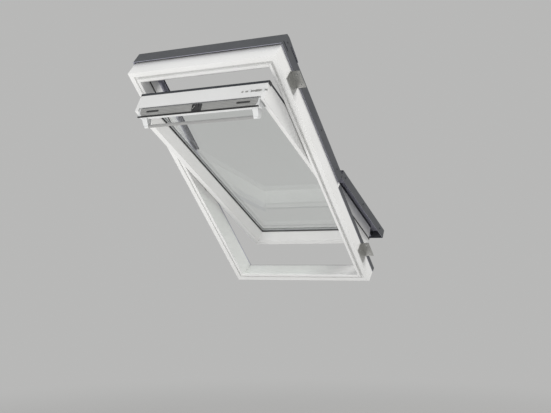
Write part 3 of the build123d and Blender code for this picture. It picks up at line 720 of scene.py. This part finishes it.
def painted_slot_shade(finishes):
    """A dark liner in each air slot that paints its shade: a collar on its rim, which widens the
    painted shade, and fine bars across it.
    """
    across, depth = SLOT_PLACE
    slot, rim = round_ended(*SLOT_SIZE), round_ended(*SLOT_RIM)
    for side, name in SIDES:
        shape = bmesh.new()
        prism(shape, slot, 0, LINER_THICKNESS)
        for step in range(BAR_COUNT):
            middle = (step - (BAR_COUNT - 1) / 2) * BAR_PITCH
            left, right = middle - BAR_HALF, middle + BAR_HALF
            low, high = -BAR_REACH, BAR_REACH
            bar = [(left, low), (right, low), (right, high), (left, high)]
            prism(shape, bar, BAR_FOOT, BAR_TOP)
        collar(
            shape, rim, slot, SLOT_RIM_HEIGHT - COLLAR_SINK, SLOT_RIM_HEIGHT + COLLAR_PROUD
        )
        place = (side * across, on_flap(depth, LINER_LIFT), depth)
        stand(shape, place, (0, 1, 0))
        hang(shape, f"slot_painted_shade_{name}", "flap", "dark_plastic", finishes)


def latch_lever(finishes):
    """The bright steel lever that lies aslant in the latch, beside its nose."""
    shape = bmesh.new()
    prism(shape, round_ended(*LEVER_SIZE), 0, LEVER_THICKNESS)
    ease(shape)
    place = (LEVER_ACROSS, on_flap(LEVER_DEPTH, LEVER_LIFT), LEVER_DEPTH)
    stand(shape, place, LEVER_NORMAL, LEVER_TURN)
    hang(shape, "latch_lever", "flap", "zinc_steel", finishes)


# Studio
def floor():
    """A wide pale floor that turns into the backdrop's colour away from the window."""
    bpy.ops.mesh.primitive_circle_add(vertices=96, radius=FLOOR_RADIUS, fill_type="NGON")
    ground = bpy.context.object
    ground.name = "floor"
    ground.location.z = -FLOOR_DROP
    made, tree, shader = material("floor")
    place = object_place(tree)
    specks = noise(tree, place, scale=3, detail=2)
    coloured(tree, shader, specks, FLOOR_COLOUR, tuple(c * FLOOR_SPECKS for c in FLOOR_COLOUR))
    set_up(shader, Roughness=0.9, Specular_IOR_Level=0.1)
    away = add(tree, "ShaderNodeVectorMath", operation="LENGTH")
    tree.links.new(place, away.inputs[0])
    fade = add(tree, "ShaderNodeMapRange", interpolation_type="SMOOTHSTEP")
    set_up(fade, From_Min=FLOOR_NEAR, From_Max=FLOOR_FAR)
    tree.links.new(away.outputs["Value"], fade.inputs["Value"])
    far = add(tree, "ShaderNodeEmission", Color=(*BACKDROP, 1), Strength=1.0)
    surface = mixed(
        tree, fade.outputs["Result"], shader.outputs["BSDF"], far.outputs["Emission"]
    )
    tree.links.new(surface, tree.nodes["Material Output"].inputs["Surface"])
    ground.data.materials.append(made)


def world():
    """Soft light all round; eyes, gloss and glass see the pale backdrop."""
    sky = bpy.data.worlds.new("studio")
    bpy.context.scene.world = sky
    sky.use_nodes = True
    tree = sky.node_tree
    tree.nodes.clear()
    rays = add(tree, "ShaderNodeLightPath").outputs
    seen = calculated(tree, "MAXIMUM", rays["Is Camera Ray"], rays["Is Glossy Ray"])
    seen = calculated(tree, "MAXIMUM", seen, rays["Is Transmission Ray"])
    light = add(tree, "ShaderNodeBackground", Color=(1, 1, 1, 1), Strength=WORLD_LIGHT)
    backdrop = add(tree, "ShaderNodeBackground", Color=(*BACKDROP, 1), Strength=1.0)
    surface = mixed(tree, seen, light.outputs["Background"], backdrop.outputs["Background"])
    out = add(tree, "ShaderNodeOutputWorld")
    tree.links.new(surface, out.inputs["Surface"])


def lamp(name, place, target, power, tint):
    data = bpy.data.lights.new(name, "AREA")
    data.shape = "DISK"
    data.size = LAMP_SIZE
    data.energy = power
    data.color = tint
    made = bpy.data.objects.new(name, data)
    made.location = place
    aim = Vector(target) - Vector(place)
    made.rotation_euler = aim.to_track_quat("-Z", "Y").to_euler()
    made.visible_camera = False
    made.visible_transmission = False
    made.visible_glossy = False
    bpy.context.scene.collection.objects.link(made)


def studio():
    for name, settings in LAMPS.items():
        lamp(name, *settings)
    floor()
    world()


def camera():
    data = bpy.data.cameras.new("camera")
    data.sensor_width = SENSOR_WIDTH
    data.lens = SENSOR_WIDTH * FOCAL_PX / FRAME_PX
    data.dof.use_dof = False
    made = bpy.data.objects.new("camera", data)
    made.location = CAMERA_PLACE
    made.rotation_euler = (math.radians(90 + CAMERA_TILT), 0, math.radians(CAMERA_YAW))
    bpy.context.scene.collection.objects.link(made)
    bpy.context.scene.camera = made


finishes = slot_materials()
dress_nodes(finishes)
screws(finishes)
corner_caps(finishes)
painted_slot_shade(finishes)
latch_lever(finishes)
studio()
camera()
bpy.context.scene.view_settings.view_transform = "Standard"
